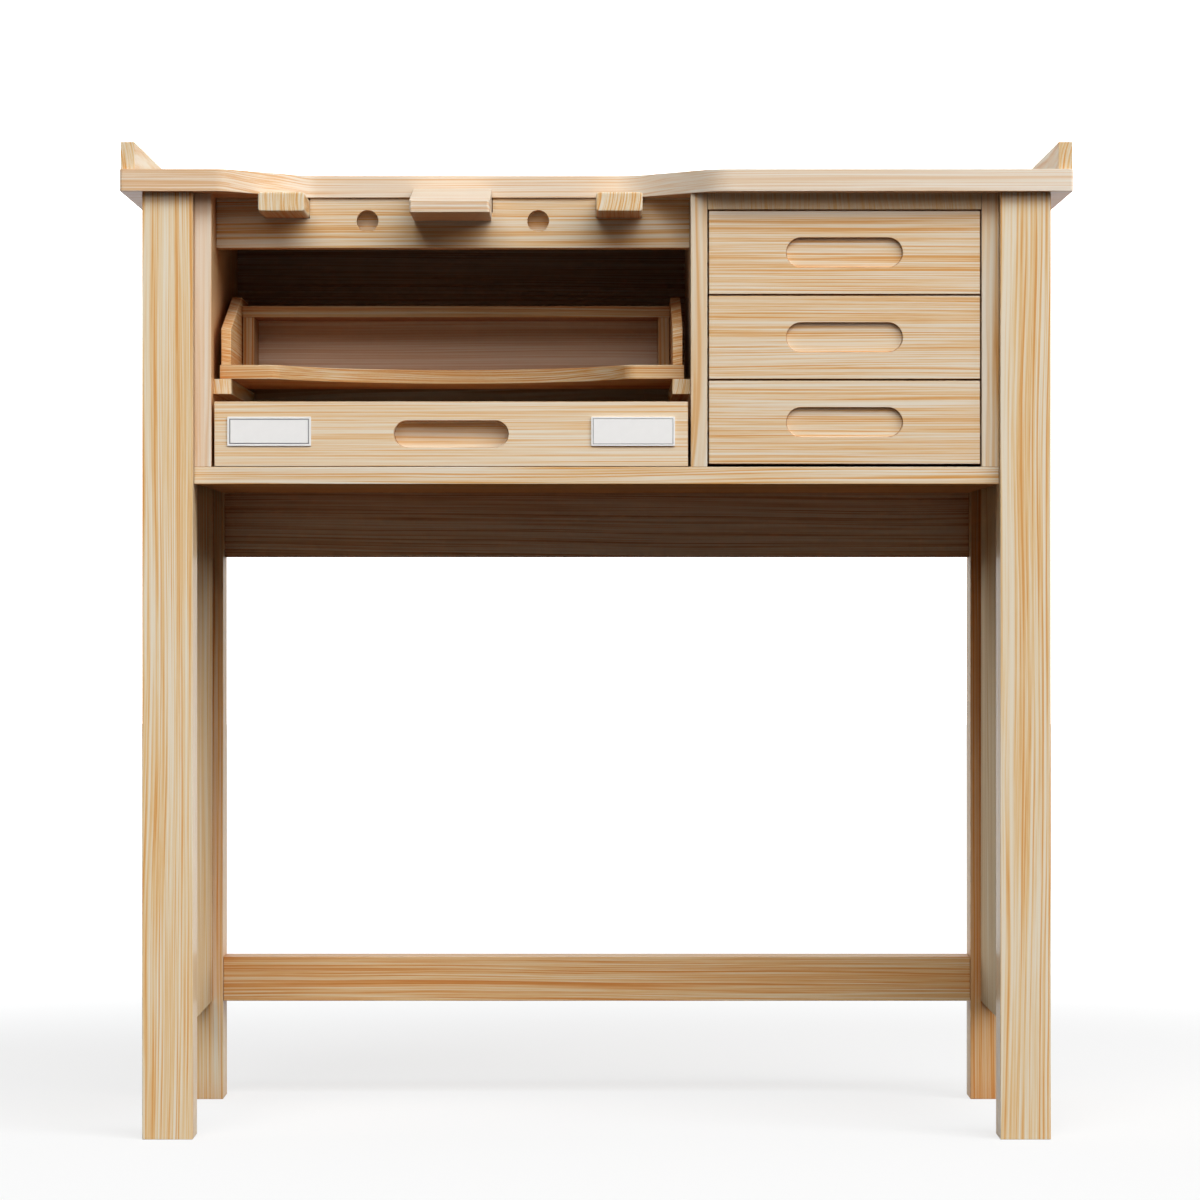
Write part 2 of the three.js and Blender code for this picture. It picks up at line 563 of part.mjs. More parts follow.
// Plan of the tray base: a straight lip at each end of the front edge, then one broad concave sweep.
function trayPlan(x) {
  const [frontY, rearY] = TRAY_Y;
  const middle = middleOf(x);
  const sweepY = frontY + TRAY_SCOOP_DEPTH - TRAY_SCOOP_RADIUS;
  const lipY = frontY + TRAY_SCOOP_LIP_RADIUS;
  const lipReach = Math.sqrt((TRAY_SCOOP_RADIUS + TRAY_SCOOP_LIP_RADIUS) ** 2 - (lipY - sweepY) ** 2);
  const lipAngle = Math.atan2(lipY - sweepY, lipReach);
  const halfTurn = Math.PI;
  const quarterTurn = halfTurn / 2;
  const shape = new THREE.Shape();
  const lip = (lipX, from, to) => shape.absarc(lipX, lipY, TRAY_SCOOP_LIP_RADIUS, from, to, false);
  shape.moveTo(x[0], frontY);
  shape.lineTo(middle - lipReach, frontY);
  lip(middle - lipReach, -quarterTurn, -lipAngle);
  shape.absarc(middle, sweepY, TRAY_SCOOP_RADIUS, halfTurn - lipAngle, lipAngle, true);
  lip(middle + lipReach, halfTurn + lipAngle, halfTurn + quarterTurn);
  shape.lineTo(x[1], frontY);
  shape.lineTo(x[1], rearY);
  shape.lineTo(x[0], rearY);
  shape.closePath();
  return shape;
}

function addTray() {
  const runnerZ = [TRAY_RUNNER_TOP_Z - TRAY_RUNNER.height, TRAY_RUNNER_TOP_Z];
  const runnerY = [TRAY_RUNNER.frontY, BACK_Y - FIT];
  const [leftX, rightX] = LEFT_BAY_X;
  const runner = (x) => board({ x, y: runnerY, z: runnerZ });
  addPiece("tray_runner_left", runner([leftX, leftX + TRAY_RUNNER.width]));
  addPiece("tray_runner_right", runner([rightX - TRAY_RUNNER.width, rightX]));

  const baseX = centred(LEFT_BAY_MIDDLE_X, TRAY_WIDTH);
  const outerX = grown(baseX, -TRAY_SIDE.inset);
  const innerX = grown(outerX, -TRAY_SIDE.thickness);
  const profile = outline([
    [TRAY_Y[0], TRAY_FLOOR_Z],
    [TRAY_Y[1], TRAY_FLOOR_Z],
    [TRAY_Y[1], TRAY_FLOOR_Z + TRAY_SIDE.rearHeight],
    [TRAY_Y[0] + TRAY_SIDE.slopeRun, TRAY_FLOOR_Z + TRAY_SIDE.rearHeight],
    [TRAY_Y[0], TRAY_FLOOR_Z + TRAY_SIDE.frontHeight],
  ]);
  const sideRanges = { left: [outerX[0], innerX[0]], right: [innerX[1], outerX[1]] };
  const tongue = (sideX, play) => block({
    x: grown(sideX, play - TRAY_SIDE_TONGUE.shoulder),
    y: grown(TRAY_Y, play - HOUSING_STOP),
    z: [TRAY_FLOOR_Z - TRAY_SIDE_TONGUE.depth - play, TRAY_FLOOR_Z + CUT_CLEAR],
  });
  const baseZ = [TRAY_BASE_Z, TRAY_FLOOR_Z];
  const base = slabOverZ(trayPlan(baseX), baseZ, VISIBLE_EASE, ROUND_STEPS, SWEEP_STEPS);
  addPiece("tray_base", withCuts(base, Object.values(sideRanges).map((x) => tongue(x, FIT))));
  for (const [side, x] of Object.entries(sideRanges)) {
    addPiece(`tray_side_${side}`, withParts(slabOverX(profile, x), [tongue(x, 0)]));
  }

  const rackX = grown(innerX, -FIT);
  const endZ = [TRAY_FLOOR_Z, RACK_TOP_Z[0]];
  const endX = grown(innerX, -RACK_END_INSET);
  addPiece("rack_top", board({ x: rackX, y: RACK_Y, z: RACK_TOP_Z }));
  addPiece("rack_end_left", board({ x: [endX[0], endX[0] + RACK_END_THICKNESS], y: RACK_Y, z: endZ }));
  addPiece("rack_end_right", board({ x: [endX[1] - RACK_END_THICKNESS, endX[1]], y: RACK_Y, z: endZ }));
  const backY = [RACK_Y[1], RACK_Y[1] + TRAY_BACK_THICKNESS];
  addPiece("tray_back", board({ x: rackX, y: backY, z: [TRAY_FLOOR_Z, RACK_TOP_Z[1]] }));
}

// One drawer: a front with a finger recess, sides housed in it, a back between the sides and a bottom
// in grooves. A hung drawer has a groove in the outer face of each side for the runner strip.
function addDrawer({ name, x, z, boxInset, boxZ, recess, hangerZ }) {
  const frontRearY = DRAWER_FRONT_Y + DRAWER_FRONT_THICKNESS;
  const boxX = grown(x, -boxInset);
  const insideX = grown(boxX, -BOX_BOARD);
  const sideY = [frontRearY - BOX_JOINT_DEPTH, DRAWER_REAR_Y];
  const backY = [DRAWER_REAR_Y - 2 * BOX_BOARD, DRAWER_REAR_Y - BOX_BOARD];
  const bottomLowZ = boxZ[0] + DRAWER_BOTTOM_LIFT;
  const bottomZ = [bottomLowZ, bottomLowZ + DRAWER_BOTTOM_THICKNESS];
  const sideRanges = { left: [boxX[0], insideX[0]], right: [insideX[1], boxX[1]] };

  const bottom = {
    x: grown(insideX, BOX_JOINT_DEPTH - FIT),
    y: [frontRearY - BOX_JOINT_DEPTH, DRAWER_REAR_Y],
    z: bottomZ,
  };
  const bottomGroove = block({
    x: grown(bottom.x, FIT),
    y: [bottom.y[0] - FIT, bottom.y[1] + CUT_CLEAR],
    z: grown(bottomZ, FIT),
  });
  const backTongueX = grown(insideX, BOX_JOINT_DEPTH - FIT);
  const backTongueY = centred(middleOf(backY), BOX_JOINT_DEPTH);
  const backZ = [bottomZ[1] + FIT, boxZ[1]];
  const backDado = block({
    x: grown(backTongueX, FIT),
    y: grown(backTongueY, FIT),
    z: grown(backZ, CUT_CLEAR),
  });

  const sideDados = Object.values(sideRanges).map((sideX) => block({
    x: grown(sideX, FIT),
    y: [sideY[0] - FIT, frontRearY + CUT_CLEAR],
    z: grown(boxZ, FIT),
  }));
  const frontBoard = board({ x, y: [DRAWER_FRONT_Y, frontRearY], z });
  const hollow = fingerRecess(recess, middleOf(x), middleOf(z), DRAWER_FRONT_Y);
  addPiece(`${name}_front`, withCuts(frontBoard, [hollow, bottomGroove, ...sideDados]));

  for (const [side, sideX] of Object.entries(sideRanges)) {
    const cuts = [bottomGroove, backDado];
    if (hangerZ) {
      const outerX = side === "left" ? boxX[0] : boxX[1];
      cuts.push(block({
        x: grown([outerX, outerX], HANGER.thickness - SMALL_DRAWER_GAP_X - SMALL_BOX_INSET + HANGER.play),
        y: [HANGER.y[0] - HANGER.play, DRAWER_REAR_Y + CUT_CLEAR],
        z: grown(hangerZ, HANGER.play),
      }));
    }
    const sideBoard = plainBoard({ x: sideX, y: sideY, z: boxZ });
    addPiece(`${name}_side_${side}`, withCuts(sideBoard, cuts), FINISH.boxWood);
  }
  addPiece(`${name}_back`, withParts(plainBoard({ x: grown(insideX, -FIT), y: backY, z: backZ }), [
    block({ x: backTongueX, y: backTongueY, z: grown(backZ, -HIDDEN_EASE) }),
  ]), FINISH.boxWood);
  addPiece(`${name}_bottom`, block(bottom), FINISH.boxWood);
}

function addDrawers() {
  const wideZ = FLOOR_TOP_Z + WIDE_DRAWER_LIFT;
  addDrawer({
    name: "wide_drawer",
    x: grown(LEFT_BAY_X, -WIDE_DRAWER_GAP_X),
    z: [wideZ, WIDE_DRAWER_TOP_Z],
    boxInset: WIDE_BOX_INSET,
    boxZ: [wideZ, WIDE_BOX_TOP_Z],
    recess: WIDE_RECESS,
  });
  SMALL_DRAWER_NAMES.forEach((name, i) => {
    const frontZ = SMALL_DRAWER_FIRST_Z + i * SMALL_DRAWER_PITCH;
    const boxZ = [frontZ + SMALL_BOX_LIFT, frontZ + SMALL_BOX_LIFT + SMALL_BOX_HEIGHT];
    const hangerZ = centred(middleOf(boxZ), HANGER.height);
    addDrawer({
      name,
      x: grown(RIGHT_BAY_X, -SMALL_DRAWER_GAP_X),
      z: [frontZ, frontZ + SMALL_DRAWER_HEIGHT],
      boxInset: SMALL_BOX_INSET,
      boxZ,
      recess: SMALL_RECESS,
      hangerZ,
    });
    const [leftX, rightX] = RIGHT_BAY_X;
    const strip = (x) => plainBoard({ x, y: HANGER.y, z: hangerZ });
    addPiece(`${name}_runner_left`, strip([leftX, leftX + HANGER.thickness]), FINISH.boxWood);
    addPiece(`${name}_runner_right`, strip([rightX - HANGER.thickness, rightX]), FINISH.boxWood);
  });
}

addTop();
addLegs();
addSidePanels();
addRearRails();
addCarcass();
addBenchPin();
addArmrests();
addTray();
addDrawers();

export default bench;
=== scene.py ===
"""Looks of the jeweler's bench: varnished boards, two bare label plates, a pale studio and the camera."""
import json
import math
import random

import bmesh
import bpy
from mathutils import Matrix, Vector


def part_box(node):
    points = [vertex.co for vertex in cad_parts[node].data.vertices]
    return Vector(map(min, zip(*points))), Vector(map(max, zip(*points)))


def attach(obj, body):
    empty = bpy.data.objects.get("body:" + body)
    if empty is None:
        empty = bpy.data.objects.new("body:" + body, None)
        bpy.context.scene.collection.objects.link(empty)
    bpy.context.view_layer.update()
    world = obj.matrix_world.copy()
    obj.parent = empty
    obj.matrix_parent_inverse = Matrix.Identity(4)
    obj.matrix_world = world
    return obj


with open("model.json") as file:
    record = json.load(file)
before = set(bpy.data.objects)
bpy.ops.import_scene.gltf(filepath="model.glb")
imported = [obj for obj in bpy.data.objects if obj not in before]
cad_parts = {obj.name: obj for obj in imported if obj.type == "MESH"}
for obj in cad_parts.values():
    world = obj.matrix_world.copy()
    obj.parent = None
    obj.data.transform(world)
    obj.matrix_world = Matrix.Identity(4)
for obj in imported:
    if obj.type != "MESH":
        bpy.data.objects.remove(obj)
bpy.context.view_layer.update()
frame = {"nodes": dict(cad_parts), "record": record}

MM = 0.001
WHITE = (1.0, 1.0, 1.0, 1.0)

# Sockets of a mix node, for numbers and for colours: share, first and second, and the result
NUMBER_MIX_INPUTS = (0, 2, 3)
NUMBER_MIX_OUTPUT = 0
COLOUR_MIX_INPUTS = (0, 6, 7)
COLOUR_MIX_OUTPUT = 2

# Camera: level, square to the front of the bench
CAMERA_PLACE = (3.45 * MM, -4.7445, 0.5331)
CAMERA_LENS_MM = 138.0
CAMERA_SENSOR_MM = 36.0

# Floor
FLOOR_SIZE = 30.0
FLOOR_NEAR_GLOW = 0.72  # what the camera sees of the floor with no lamp on it, close to the bench
FLOOR_GLOW_REACH = (1.0, 2.5)  # distances from the bench over which that rises to white
FLOOR_SHADE = 0.21  # how strongly the lamps and the shadows show on the floor
FLOOR_MIRRORED = (-0.9, 0.3)  # places from front to back over which the mirrored floor turns white
FLOOR_BOUNCE = 0.045  # how much light the floor throws back up at the bench

# Studio around the bench, where the white backdrop shows as 1
STUDIO_FRONT = 0.025  # how strongly the studio in front lights the bench
REFLECTED_FRONT = 0.10  # how brightly the varnish mirrors it
REFLECTED_TURN = (-0.6, 0.5)  # directions, from front to back, over which the mirrored studio turns white
BACKDROP_LIGHT = 2.35  # how strongly the backdrop lights the bench
BACKDROP_WRAP = (-0.2, 0.1)  # directions, from front to back, over which it begins at either side
BACKDROP_RISE = (0.25, 0.6)  # directions, from level to straight up, over which it ends

# Lamps: turn to the right of the front and height over the horizon in degrees, size in metres, power in watts
# and colour. The lower half of the key is warmer, so what the overhangs shade keeps a warm colour.
LAMP_TARGET = Vector((0.0, 0.0, 0.55))
LAMP_DISTANCE = 20.0
LAMPS = {
    "key_low": {
        "turn": 20, "height": 28, "size": (30.0, 10.0), "power": 2480.0, "colour": (1.0, 0.867, 0.794),
    },
    "key_high": {
        "turn": 20, "height": 49, "size": (30.0, 7.0), "power": 4420.0, "colour": (0.883, 0.958, 1.0),
    },
    "side": {
        "turn": 62, "height": 22, "size": (8.0, 6.0), "power": 720.0, "colour": (1.0, 0.95, 0.9),
    },
    "overhead": {
        "turn": 0, "height": 66, "size": (17.2, 10.0), "power": 300.0, "colour": (1.0, 1.0, 1.0),
    },
}

# Wood colours, written as display values from light to dark, and their places along that way
STOP_PLACES = (0.0, 0.35, 0.7, 1.0)
# Painted highlight: paler stops for the boards that catch the most light
LIT_PALE_STOPS = ((224, 216, 204), (223, 208, 189), (220, 197, 169), (211, 171, 129))
VARNISH_STOPS = ((222, 211, 191), (220, 199, 164), (217, 181, 129), (209, 153, 87))
FRONT_STOPS = ((219, 209, 193), (217, 197, 168), (214, 180, 136), (205, 150, 85))
# Painted shade: warmer, deeper stops for boards that lie in shade
SHADE_WARMED_STOPS = ((218, 198, 166), (213, 178, 131), (206, 153, 95), (194, 127, 66))
# Painted shade: greyer stops for boards deep in shade
SHADE_GREYED_STOPS = ((228, 214, 200), (221, 201, 182), (210, 178, 150), (192, 150, 116))
BOX_STOPS = ((232, 218, 194), (226, 206, 172), (217, 190, 150), (200, 164, 118))
WEAR_AND_HIGHLIGHT_EDGE = ((228, 212, 186), 0.5)  # a board's edges rubbed pale, wear that also serves as a painted highlight: their colour, and how much of it shows
PAINTED_GAP_SHADE_EDGE = ((150, 94, 54), 1.6)  # painted shade: edges darkened a warm brown, as the gaps between drawers look in shade
ARRIS_TURN = (0.94, 0.80)  # how square to an axis a face is where an edge begins, and where it is fully there

# Painted shade: what faces keep of a board's colour
PAINTED_UNDERSIDE_SHADE = (0.88, 0.56, 0.37, 1.0)  # painted shade on those that look down
FACING_TURN = (0.5, 0.95)  # how far a face looks a certain way where its tint begins, and where it is full
PAINTED_CORNER_SHADE_TINT = (0.88, 0.68, 0.52, 1.0)  # painted shade in the corners and crannies of a board, where less light reaches
PAINTED_SHADE_REACH = 45 * MM
PAINTED_SHADE_OPENNESS = (0.95, 0.25)  # how open a place is where its painted shade begins, and where it is full
PAINTED_SHADE_SAMPLES = 6

# Boards with one warmer side, painted warm shade and bounce light: the way it looks, as an axis and a sign,
# and what it keeps of the colour
PAINTED_WARM_SIDES = {
    "carcass_side_left": ("X", 1, (1.0, 0.72, 0.46, 1.0)),
    "rear_leg_right": ("Y", -1, (0.95, 0.78, 0.64, 1.0)),
}

# Varnish and grain that can be felt
ROUGHNESS = (0.42, 0.56)
WORN_ROUGHNESS = 0.12  # what a worn edge adds
COAT_ROUGHNESS = 0.14
NOISE_SPAN = (0.2, 0.8)  # values of a noise that stand for the ends of a range of roughness
RELIEF_DEPTH = 0.08 * MM
RELIEF_STRENGTH = 0.25
LATE_WOOD_HEIGHT = -0.6  # dark wood lies lower than pale wood

# What each kind of board has: colours, how light they are, how much of the figure shows and how far it is
# towards the dark end, strength of the growth rings and their spacing in millimetres, edges, coat of varnish,
# specular level, and whether painted shade deepens its corners
OUTER = {
    "stops": VARNISH_STOPS, "shade": 1.0, "contrast": 1.0, "shift": 0.0, "rings": 0.68, "spacing": 2.0,
    "edge": WEAR_AND_HIGHLIGHT_EDGE, "coat": 0.22, "specular": 0.25, "sheltered": False,
}
FRONT = {
    **OUTER, "stops": FRONT_STOPS, "contrast": 1.08, "shift": 0.05, "rings": 0.36, "edge": PAINTED_GAP_SHADE_EDGE,
}
# Painted shade: boards that lie in shade take the warmer, deeper stops and painted shade in their corners
SHADED_INNER = {**OUTER, "stops": SHADE_WARMED_STOPS, "coat": 0.1, "specular": 0.15, "sheltered": True}
DRY = {**SHADED_INNER, "coat": 0.0, "specular": 0.0}
END_GRAIN = {**OUTER, "rings": 0.9, "spacing": 3.6}
DRAWER_BOX = {**SHADED_INNER, "stops": BOX_STOPS}
KINDS = {
    "bench_top": {**OUTER, "stops": LIT_PALE_STOPS, "contrast": 0.85, "shift": -0.12},
    "gallery_rail_left": {**OUTER, "shade": 0.97, "shift": 0.1},
    "gallery_rail_right": {**OUTER, "shade": 0.95, "shift": 0.05},
    "armrest_left": END_GRAIN,
    "armrest_right": END_GRAIN,
    "drawer_bay_top": {**END_GRAIN, "rings": 0.35, "contrast": 0.5},
    "wide_drawer_front": {**FRONT, "shade": 1.03, "contrast": 0.85, "shift": -0.01},
    "lower_drawer_front": {**FRONT, "shift": -0.03},
    "middle_drawer_front": {**FRONT, "shift": 0.11},
    "upper_drawer_front": FRONT,
    "front_leg_right": {**OUTER, "shift": 0.03},
    "carcass_divider": {**OUTER, "stops": FRONT_STOPS, "shift": -0.15},
    "carcass_side_right": {**OUTER, "stops": FRONT_STOPS, "shift": 0.05},
    # Painted shade: the back of the compartments made dark and grey, as it lies deep in shade
    "carcass_back": {**SHADED_INNER, "stops": SHADE_GREYED_STOPS, "shade": 0.55, "sheltered": False},
    # Painted shade: the rack darkened where it lies in shade inside the tray
    "rack_top": {**SHADED_INNER, "shade": 0.6},
    "rack_end_left": {**SHADED_INNER, "shade": 0.62},
    "rack_end_right": {**SHADED_INNER, "shade": 0.62},
    "carcass_floor": {**DRY, "stops": FRONT_STOPS, "sheltered": False},
    "rear_rail": {**DRY, "stops": SHADE_GREYED_STOPS},
    "side_panel_left": {**DRY, "stops": VARNISH_STOPS},
    # Painted light: paler stops lighten the right panel, which lies in shade
    "side_panel_right": {**DRY, "stops": BOX_STOPS, "shift": -0.1},
    "bench_pin_rail": {
        **SHADED_INNER, "stops": FRONT_STOPS, "shade": 0.96, "shift": 0.09, "rings": 0.4, "sheltered": False,
    },
    # Painted highlight: the pin's paler stops, dimmed a little against the light it throws up onto the top
    "bench_pin": {**OUTER, "stops": LIT_PALE_STOPS, "shade": 0.96, "contrast": 1.2, "shift": 0.02},
    # Painted shade: the tray and its runners darkened a little for the shade they lie in
    "tray_base": {**SHADED_INNER, "shade": 0.87},
    "tray_runner_left": {**OUTER, "shade": 0.9},
    "tray_runner_right": {**OUTER, "shade": 0.9},
    # Painted light: the rear left leg lightened a little where it lies in shade
    "rear_leg_left": {**SHADED_INNER, "stops": VARNISH_STOPS, "shade": 1.03},
    "rear_leg_right": {**SHADED_INNER, "stops": VARNISH_STOPS, "shift": 0.05},
    "tray_back": {**SHADED_INNER, "stops": SHADE_GREYED_STOPS, "contrast": 0.5, "sheltered": False},
    # Painted shade: the left carcass side darkened a little against the side lamp
    "carcass_side_left": {
        **OUTER, "stops": LIT_PALE_STOPS, "shade": 0.93, "shift": -0.2, "sheltered": True,
    },
}
# Painted shade: more boards that lie in shade take the shaded inner kind
SHADED_INNER_BOARDS = (
    "rear_stretcher", "tray_side_left", "tray_side_right", "armrest_guide_left", "armrest_guide_right",
)
KINDS.update({name: SHADED_INNER for name in SHADED_INNER_BOARDS})

# Boards with darker zones: how far each moves the figure towards the dark end, and the places along the axes
# over which it begins. On the top: darker towards the left front corner, and painted shade along the
# cut-out's face.
DARK_ZONES = {
    "bench_top": (
        (0.55, (("X", -0.22, -0.40), ("Y", -0.10, -0.17))),
        (0.30, (("X", -0.31, -0.27), ("X", 0.05, 0.01), ("Y", -0.122, -0.135))),
    ),
}

# Figure of the wood. Noise cells are counted by the metre, across, across and along the grain.
NOISE_MIDDLE = 0.5
WANDER_CELLS = (6.0, 6.0, 0.9)
WANDER_REACH = (0.022, 0.022, 0.0)
RIPPLE_CELLS = (30.0, 30.0, 4.0)
RIPPLE_REACH = (0.0018, 0.0018, 0.0)
UNEVEN_CELLS = 60.0  # changes in the width of the rings, going outwards from the trunk's centre
UNEVEN_RINGS = 4.0  # how many rings such a change adds or takes
LATE_WOOD_BEGINS = (0.42, 0.84)  # shares of a ring's width over which its dark late wood begins
LATE_WOOD_ENDS = (0.86, 1.0)
STREAKS = (  # cells that lie outwards, round and along the rings instead, and how strongly they show
    ((32.0, 4.0, 0.5), 0.48),
    ((130.0, 8.0, 1.0), 0.55),
    ((430.0, 12.0, 2.2), 1.4),
    ((900.0, 30.0, 5.0), 2.1),
)
FIBRE_CELLS = (1500.0, 1500.0, 30.0)
FIBRE_STRENGTH = 0.5
EARLY_WOOD_TONE = 0.395
MIDDLE_TONE = 0.5

# Where the middle of the trunk lies from the middle of a board: its distance, and its direction as an
# angle from the first to the second axis across the grain
PITH = {
    "bench_top": (1.5, 90),
    "tray_base": (1.0, 90),
    "drawer_bay_top": (1.2, 5),
    "tray_side_left": (0.2, 80),
    "tray_side_right": (0.2, 100),
}
# The same for all other boards, drawn by lot, with angles in degrees
PITH_DISTANCE = (0.07, 0.14)
DIAGONAL = 45
QUARTER_TURN = 90
DIAGONAL_SWAY = (-12, 12)
FLAT_SAWN_SWAY = (-15, 15)

# Drawn by lot for every board
PLACE_IN_TRUNK = (-40, 40)  # along the grain
SHADE_SPREAD = (0.97, 1.03)
SPACING_SPREAD = (0.8, 1.2)

# Boards whose grain doesn't run along their longest side
GRAIN_OVERRIDES = {
    "carcass_side_left": "Z",
    "carcass_side_right": "Z",
    "carcass_divider": "Z",
    "rack_end_left": "Z",
    "rack_end_right": "Z",
    "drawer_bay_top": "Y",
    "bench_pin": "X",
}
# How the axes of the bench are read as across, across and along the grain
GRAIN_ORDER = {"X": "YZX", "Y": "XZY", "Z": "XYZ"}

# Boards with walls that curve round this axis, which don't take an arris's edge colour, the wear and painted
# highlight, and on drawer fronts the painted gap shade
CURVED_ABOUT = {"bench_top": "Z", "tray_base": "Z", "bench_pin_rail": "Y"}
CURVED_ABOUT.update({name: "Y" for name in frame["nodes"] if name.endswith("_drawer_front")})

# Shading of eased edges
WELD_DISTANCE = 0.01 * MM
CRISP_ANGLE = math.radians(50)

# Label plates on the wide drawer
PLATE_SIZE = (83 * MM, 29 * MM)
PLATE_OFFSET_X = 180.25 * MM
PLATE_LIFT_Z = 2.5 * MM
PLATE_CORNER = 0.8 * MM
SMALLEST_CORNER = PLATE_CORNER / 4
CORNER_POINTS = 4
METAL, ENAMEL = 0, 1
# Profiles of the plates from the edge inwards, in millimetres: set-in, height over the drawer and material.
# Both are enamel with a sunk metal line, broad on one and narrow on the other.
BROAD_LINE = (
    (0.0, 0.0, METAL), (0.0, 1.2, METAL), (0.2, 1.4, ENAMEL), (2.0, 1.4, ENAMEL),
    (2.1, 1.0, METAL), (3.0, 1.0, METAL), (3.1, 1.3, METAL), (3.2, 1.3, ENAMEL),
)
NARROW_LINE = (
    (0.0, 0.0, ENAMEL), (0.0, 1.8, ENAMEL), (0.2, 2.0, ENAMEL), (1.7, 2.0, ENAMEL),
    (1.8, 1.7, METAL), (2.3, 1.7, METAL), (2.4, 2.0, ENAMEL),
)
# Metal and enamel of the plates. Colours are display values, and noise cells are counted by the metre.
TWO_TONE_PLACES = (0.3, 0.7)
METAL_COLOURS = ((138, 139, 142), (154, 155, 158))
METAL_ROUGHNESS = (0.26, 0.42)
METAL_BRUSHING = (60.0, 9000.0, 9000.0)
METALLIC = 0.85
ENAMEL_COLOURS = ((233, 233, 232), (235, 235, 234))
ENAMEL_ROUGHNESS = (0.42, 0.46)
ENAMEL_MOTTLE = (140.0, 140.0, 140.0)
ENAMEL_PEEL = (900.0, 900.0, 900.0)
PEEL_DEPTH = 0.01 * MM
PEEL_STRENGTH = 0.1


def linear(display):
    """A display colour, 0 to 255, as linear light with alpha, by the sRGB curve."""
    def channel(value):
        share = value / 255
        return share / 12.92 if share <= 0.04045 else ((share + 0.055) / 1.055) ** 2.4
    return (*[channel(value) for value in display], 1.0)


def grey(level):
    """A linear grey with alpha."""
    return (level, level, level, 1.0)


def add_node(tree, kind, inputs=None, **settings):
    """A node with its settings made, and its inputs set or linked."""
    node = tree.nodes.new(kind)
    for name, value in settings.items():
        setattr(node, name, value)
    for name, value in (inputs or {}).items():
        if isinstance(value, bpy.types.NodeSocket):
            tree.links.new(value, node.inputs[name])
        else:
            node.inputs[name].default_value = value
    return node


def calculate(tree, operation, *values, clamp=False):
    """The result of a math node."""
    inputs = dict(enumerate(values))
    return add_node(tree, "ShaderNodeMath", inputs, operation=operation, use_clamp=clamp).outputs[0]


def combine(tree, operation, *values):
    """The vector result of a vector math node."""
    return add_node(tree, "ShaderNodeVectorMath", dict(enumerate(values)), operation=operation).outputs[0]


def mix_colours(tree, share, first, second):
    """The colour that is share of the way from first to second."""
    inputs = dict(zip(COLOUR_MIX_INPUTS, (share, first, second)))
    return add_node(tree, "ShaderNodeMix", inputs, data_type="RGBA").outputs[COLOUR_MIX_OUTPUT]


def ramp_between(tree, value, low, high, to_low=0.0, to_high=1.0):
    """value taken smoothly from low..high to to_low..to_high."""
    node = add_node(
        tree, "ShaderNodeMapRange",
        {"Value": value, "From Min": low, "From Max": high, "To Min": to_low, "To Max": to_high},
        interpolation_type="SMOOTHSTEP",
    )
    return node.outputs["Result"]


def noise(tree, place, cells, detail, output="Fac"):
    """Noise with a number of cells a metre along each axis."""
    scaled = combine(tree, "MULTIPLY", place, cells)
    node = add_node(tree, "ShaderNodeTexNoise", {"Vector": scaled, "Scale": 1.0, "Detail": detail})
    return node.outputs[output]


def separate(tree, vector):
    """The X, Y and Z of a vector."""
    return add_node(tree, "ShaderNodeSeparateXYZ", {0: vector}).outputs


def length(tree, vector):
    """The length of a vector."""
    return add_node(tree, "ShaderNodeVectorMath", {0: vector}, operation="LENGTH").outputs["Value"]


def object_place(tree):
    """The place of a point on its own piece."""
    return add_node(tree, "ShaderNodeTexCoord").outputs["Object"]


def new_material(name):
    """A material, its node tree and its shader."""
    material = bpy.data.materials.new(name)
    material.use_nodes = True
    tree = material.node_tree
    return material, tree, tree.nodes["Principled BSDF"]


def colour_ramp(tree, value, places, colours):
    """A colour that runs through linear colours at their places."""
    ramp = add_node(tree, "ShaderNodeValToRGB", {"Fac": value})
    elements = ramp.color_ramp.elements
    while len(elements) < len(places):
        elements.new(0.5)
    for element, place, colour in zip(elements, places, colours):
        element.position = place
        element.color = colour
    return ramp.outputs["Color"]


